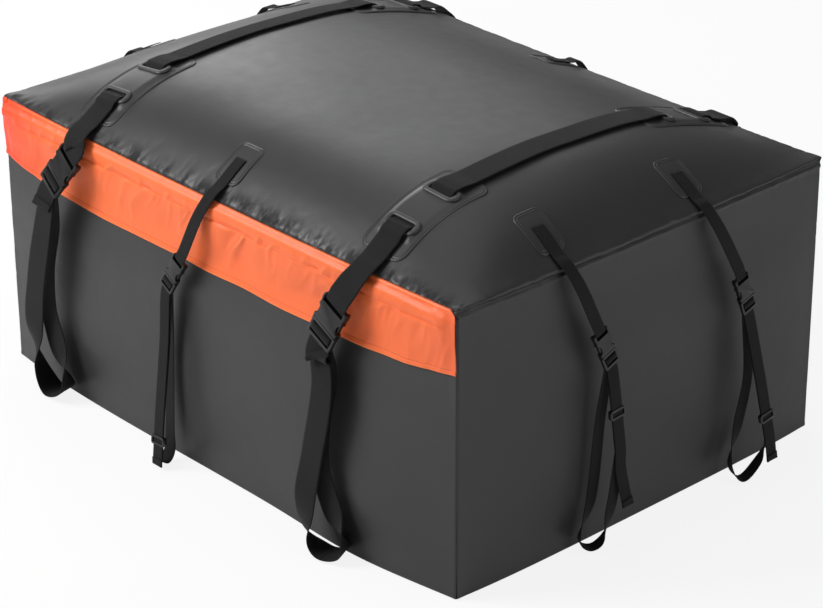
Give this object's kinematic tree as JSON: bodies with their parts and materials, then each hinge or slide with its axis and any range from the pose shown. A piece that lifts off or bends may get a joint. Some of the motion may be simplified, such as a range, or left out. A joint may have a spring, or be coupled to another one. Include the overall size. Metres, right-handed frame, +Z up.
{
  "type": "roof cargo bag",
  "caption": "Soft box-shaped cargo bag for a car roof, domed lid, zip under a full-length storm flap, lashed by wide and narrow webbing straps with side-release buckles.",
  "frame": {"origin": "middle of the base, on the surface the bag stands on", "axes": "+X along the long side, -Y towards the side with the zip and the storm flap, +Z up"},
  "size_m": [1.3502, 1.0638, 0.6276],
  "materials": {
    "bag_fabric": "satin coated fabric",
    "flap_fabric": "satin coated fabric",
    "slot_patch": "satin",
    "webbing": "woven matte",
    "buckle_plastic": "satin",
    "zip_tape": "woven matte",
    "zip_metal": "satin black"
  },
  "bodies": {
    "bag": {"floor_panel": "bag_fabric", "front_wall": "bag_fabric", "back_wall": "bag_fabric", "right_end_wall": "bag_fabric", "left_end_wall": "bag_fabric", "lid_panel": "bag_fabric", "storm_flap": "flap_fabric", "zipper_tape_upper": "zip_tape", "zipper_tape_lower": "zip_tape", "front_middle_patch": "bag_fabric", "front_middle_strap": "webbing", "front_middle_buckle_female": "buckle_plastic", "back_middle_patch": "bag_fabric", "back_middle_strap": "webbing", "back_middle_buckle_female": "buckle_plastic", "right_first_patch": "bag_fabric", "right_first_strap": "webbing", "right_first_buckle_female": "buckle_plastic", "left_first_patch": "bag_fabric", "left_first_strap": "webbing", "left_first_buckle_female": "buckle_plastic", "right_second_patch": "bag_fabric", "right_second_strap": "webbing", "right_second_buckle_female": "buckle_plastic", "left_second_patch": "bag_fabric", "left_second_strap": "webbing", "left_second_buckle_female": "buckle_plastic", "front_right_patch": "slot_patch", "front_right_buckle_female": "buckle_plastic", "back_right_patch": "slot_patch", "back_right_buckle_female": "buckle_plastic", "front_left_patch": "slot_patch", "front_left_buckle_female": "buckle_plastic", "back_left_patch": "slot_patch", "back_left_buckle_female": "buckle_plastic", "wide_strap_right": "webbing", "wide_strap_left": "webbing"},
    "zip_slider": {"zipper_slider": "zip_metal"},
    "zip_pull": {"zipper_pull": "zip_metal"},
    "front_middle_clip": {"front_middle_buckle_male": "buckle_plastic"},
    "front_middle_keeper": {"front_middle_keeper": "buckle_plastic"},
    "back_middle_clip": {"back_middle_buckle_male": "buckle_plastic"},
    "back_middle_keeper": {"back_middle_keeper": "buckle_plastic"},
    "right_first_clip": {"right_first_buckle_male": "buckle_plastic"},
    "right_first_keeper": {"right_first_keeper": "buckle_plastic"},
    "left_first_clip": {"left_first_buckle_male": "buckle_plastic"},
    "left_first_keeper": {"left_first_keeper": "buckle_plastic"},
    "right_second_clip": {"right_second_buckle_male": "buckle_plastic"},
    "right_second_keeper": {"right_second_keeper": "buckle_plastic"},
    "left_second_clip": {"left_second_buckle_male": "buckle_plastic"},
    "left_second_keeper": {"left_second_keeper": "buckle_plastic"},
    "front_right_clip": {"front_right_buckle_male": "buckle_plastic"},
    "back_right_clip": {"back_right_buckle_male": "buckle_plastic"},
    "front_left_clip": {"front_left_buckle_male": "buckle_plastic"},
    "back_left_clip": {"back_left_buckle_male": "buckle_plastic"}
  },
  "joints": [
    {"name": "zip_slide", "type": "slide", "parent": "bag", "child": "zip_slider", "axis": [1, 0, 0], "range_m": [-1.09, 0.03]},
    {"name": "zip_pull_hinge", "type": "hinge", "parent": "zip_slider", "child": "zip_pull", "pos_m": [0.533, -0.4427, 0.504], "axis": [0, 0, 1], "range_deg": [-4, 2.5]},
    {"name": "front_middle_release", "type": "slide", "parent": "bag", "child": "front_middle_clip", "axis": [-0.4476, -0.1492, -0.8817], "range_m": [0, 0.035], "deforming": ["front_middle_strap"]},
    {"name": "back_middle_release", "type": "slide", "parent": "bag", "child": "back_middle_clip", "axis": [0.4476, 0.1492, -0.8817], "range_m": [0, 0.035], "deforming": ["back_middle_strap"]},
    {"name": "right_first_release", "type": "slide", "parent": "bag", "child": "right_first_clip", "axis": [0.1455, 0.3346, -0.9311], "range_m": [0, 0.035], "deforming": ["right_first_strap"]},
    {"name": "left_first_release", "type": "slide", "parent": "bag", "child": "left_first_clip", "axis": [-0.1455, -0.3346, -0.9311], "range_m": [0, 0.035], "deforming": ["left_first_strap"]},
    {"name": "right_second_release", "type": "slide", "parent": "bag", "child": "right_second_clip", "axis": [0.1169, 0.2838, -0.9517], "range_m": [0, 0.035], "deforming": ["right_second_strap"]},
    {"name": "left_second_release", "type": "slide", "parent": "bag", "child": "left_second_clip", "axis": [-0.1169, -0.2838, -0.9517], "range_m": [0, 0.035], "deforming": ["left_second_strap"]},
    {"name": "front_right_release", "type": "slide", "parent": "bag", "child": "front_right_clip", "axis": [-0.3938, -0.1778, -0.9018], "range_m": [0, 0.042], "deforming": ["wide_strap_right"]},
    {"name": "back_right_release", "type": "slide", "parent": "bag", "child": "back_right_clip", "axis": [0.4973, 0.3122, -0.8095], "range_m": [0, 0.042], "deforming": ["wide_strap_right"]},
    {"name": "front_left_release", "type": "slide", "parent": "bag", "child": "front_left_clip", "axis": [-0.4973, -0.3122, -0.8095], "range_m": [0, 0.042], "deforming": ["wide_strap_left"]},
    {"name": "back_left_release", "type": "slide", "parent": "bag", "child": "back_left_clip", "axis": [0.3938, 0.1778, -0.9018], "range_m": [0, 0.042], "deforming": ["wide_strap_left"]},
    {"name": "front_middle_keeper_slide", "type": "slide", "parent": "bag", "child": "front_middle_keeper", "axis": [-0.0527, 0.1449, 0.988], "range_m": [-0.02, 0.04], "deforming": ["front_middle_strap"]},
    {"name": "back_middle_keeper_slide", "type": "slide", "parent": "bag", "child": "back_middle_keeper", "axis": [0.0527, -0.1449, 0.988], "range_m": [-0.02, 0.04], "deforming": ["back_middle_strap"]},
    {"name": "right_first_keeper_slide", "type": "slide", "parent": "bag", "child": "right_first_keeper", "axis": [-0.0738, -0.0801, 0.9941], "range_m": [-0.06, 0.03], "deforming": ["right_first_strap"]},
    {"name": "left_first_keeper_slide", "type": "slide", "parent": "bag", "child": "left_first_keeper", "axis": [0.0738, 0.0801, 0.9941], "range_m": [-0.06, 0.03], "deforming": ["left_first_strap"]},
    {"name": "right_second_keeper_slide", "type": "slide", "parent": "bag", "child": "right_second_keeper", "axis": [-0.1165, -0.1408, 0.9832], "range_m": [-0.03, 0.06], "deforming": ["right_second_strap"]},
    {"name": "left_second_keeper_slide", "type": "slide", "parent": "bag", "child": "left_second_keeper", "axis": [0.1165, 0.1408, 0.9832], "range_m": [-0.03, 0.06], "deforming": ["left_second_strap"]}
  ]
}
